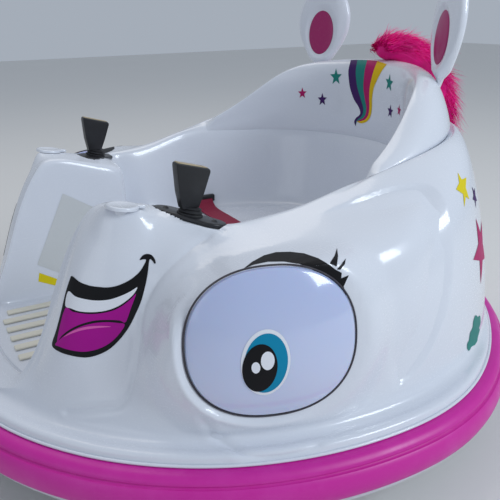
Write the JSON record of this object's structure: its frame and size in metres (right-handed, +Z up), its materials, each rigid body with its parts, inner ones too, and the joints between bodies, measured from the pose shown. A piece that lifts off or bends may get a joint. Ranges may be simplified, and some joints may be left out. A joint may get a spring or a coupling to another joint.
{
  "type": "child's ride-on bumper car with an animal face, battery powered",
  "caption": "Small ride-on bumper car toy: white moulded tub body with eyes, ears and a fur mane, pink ring bumper, joystick consoles, belt, drive wheels and casters.",
  "frame": {"origin": "on the floor under the centre of the bumper ring, at the bottom centre of the bounding box", "axes": "+Z up, -Y towards the front of the car, +X towards the car's own left"},
  "size_m": [0.6738, 0.6909, 0.4753],
  "materials": {
    "shell_white": "moulded gloss white",
    "bumper_pink": "soft satin magenta pink",
    "lens_milk": "milky translucent",
    "gasket_grey": "dark seam",
    "ear_pad_pink": "dark magenta",
    "mane_fur": "long hot pink pile",
    "control_black": "satin black",
    "belt_web": "woven crimson webbing",
    "tread_cream": "moulded ribs",
    "tray_white": "moulded satin white",
    "wheel_black": "moulded hard wheel",
    "box_grey": "moulded housing",
    "fork_steel": "zinc plated"
  },
  "bodies": {
    "chassis": {"base_tray": "tray_white", "bumper_ring": "bumper_pink", "body_shell": "shell_white", "backrest_shell": "shell_white", "footwell_ribs": "tread_cream", "eye_lens_left": "lens_milk", "eye_lens_right": "lens_milk", "eye_gasket_left": "gasket_grey", "eye_gasket_right": "gasket_grey", "ear_left": "shell_white", "ear_right": "shell_white", "ear_pad_left": "ear_pad_pink", "ear_pad_right": "ear_pad_pink", "mane": "mane_fur", "console_cap_left": "shell_white", "console_cap_right": "shell_white", "stick_bezel_left": "control_black", "stick_bezel_right": "control_black", "belt_left": "belt_web", "belt_right": "belt_web", "belt_buckle": "control_black", "belt_anchors": "control_black", "battery": "box_grey", "gearbox_left": "box_grey", "gearbox_right": "box_grey", "caster_cup_front": "tray_white", "caster_cup_rear": "tray_white"},
    "joystick_left_body": {"joystick_left": "control_black"},
    "joystick_right_body": {"joystick_right": "control_black"},
    "drive_wheel_left_body": {"drive_wheel_left": "wheel_black"},
    "drive_wheel_right_body": {"drive_wheel_right": "wheel_black"},
    "caster_fork_front_body": {"caster_fork_front": "fork_steel"},
    "caster_fork_rear_body": {"caster_fork_rear": "fork_steel"},
    "caster_wheel_front_body": {"caster_wheel_front": "wheel_black"},
    "caster_wheel_rear_body": {"caster_wheel_rear": "wheel_black"}
  },
  "joints": [
    {"name": "drive_left_spin", "type": "hinge", "parent": "chassis", "child": "drive_wheel_left_body", "pos_m": [0.224, 0.0109, 0.064], "axis": [1, 0, 0], "continuous": true},
    {"name": "stick_left_tilt", "type": "hinge", "parent": "chassis", "child": "joystick_left_body", "pos_m": [0.15, -0.1126, 0.26116], "axis": [1, 0, 0], "range_deg": [-12, 12], "stiffness_Nm_per_rad": 0.25},
    {"name": "drive_right_spin", "type": "hinge", "parent": "chassis", "child": "drive_wheel_right_body", "pos_m": [-0.224, 0.0109, 0.064], "axis": [1, 0, 0], "continuous": true},
    {"name": "stick_right_tilt", "type": "hinge", "parent": "chassis", "child": "joystick_right_body", "pos_m": [-0.15, -0.1126, 0.26116], "axis": [1, 0, 0], "range_deg": [-12, 12], "stiffness_Nm_per_rad": 0.25},
    {"name": "caster_front_swivel", "type": "hinge", "parent": "chassis", "child": "caster_fork_front_body", "pos_m": [0, -0.1951, 0.06], "axis": [0, 0, 1], "continuous": true},
    {"name": "caster_front_spin", "type": "hinge", "parent": "caster_fork_front_body", "child": "caster_wheel_front_body", "pos_m": [0, -0.1821, 0.024], "axis": [1, 0, 0], "continuous": true},
    {"name": "caster_rear_swivel", "type": "hinge", "parent": "chassis", "child": "caster_fork_rear_body", "pos_m": [0, 0.2169, 0.06], "axis": [0, 0, 1], "continuous": true},
    {"name": "caster_rear_spin", "type": "hinge", "parent": "caster_fork_rear_body", "child": "caster_wheel_rear_body", "pos_m": [0, 0.2299, 0.024], "axis": [1, 0, 0], "continuous": true}
  ]
}
